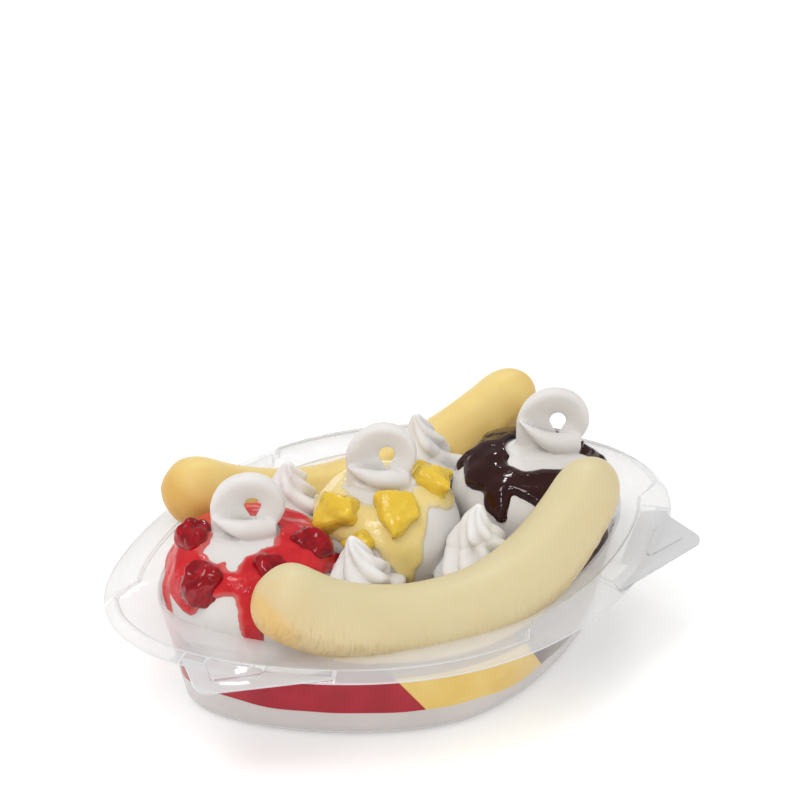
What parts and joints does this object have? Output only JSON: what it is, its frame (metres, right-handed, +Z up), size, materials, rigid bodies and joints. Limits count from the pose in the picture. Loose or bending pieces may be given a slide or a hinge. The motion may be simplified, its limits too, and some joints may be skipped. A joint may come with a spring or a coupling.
{
  "type": "banana split in its dish",
  "caption": "Soft ice cream scoops with strawberry, pineapple and chocolate toppings, banana and whipped cream in a clear boat-shaped dish.",
  "frame": {"origin": "centre of the dish's flat base, on the table", "axes": "+X along the dish from the strawberry to the chocolate helping, +Z up; the side with the two finger tabs faces -Y"},
  "size_m": [0.2196, 0.161, 0.0955],
  "materials": {
    "clear_plastic": "clear, glossy",
    "ice_cream": "soft, slightly wet",
    "whipped_cream": "soft",
    "banana_flesh": "moist",
    "strawberry_sauce": "glossy, translucent",
    "pineapple_sauce": "glossy, translucent",
    "chocolate_sauce": "glossy",
    "strawberry_flesh": "wet",
    "pineapple_flesh": "wet"
  },
  "bodies": {
    "root": {"dish": "clear_plastic", "ice_cream_base": "ice_cream", "strawberry_layer": "strawberry_sauce", "pineapple_layer": "pineapple_sauce", "chocolate_layer": "chocolate_sauce", "ice_cream_strawberry": "ice_cream", "ice_cream_pineapple": "ice_cream", "ice_cream_chocolate": "ice_cream", "banana_front": "banana_flesh", "banana_back": "banana_flesh", "cream_front_left": "whipped_cream", "cream_front_right": "whipped_cream", "cream_back_left": "whipped_cream", "cream_back_right": "whipped_cream", "strawberry_1": "strawberry_flesh", "strawberry_2": "strawberry_flesh", "strawberry_3": "strawberry_flesh", "strawberry_4": "strawberry_flesh", "strawberry_5": "strawberry_flesh", "pineapple_1": "pineapple_flesh", "pineapple_2": "pineapple_flesh", "pineapple_3": "pineapple_flesh", "pineapple_4": "pineapple_flesh"}
  },
  "joints": []
}
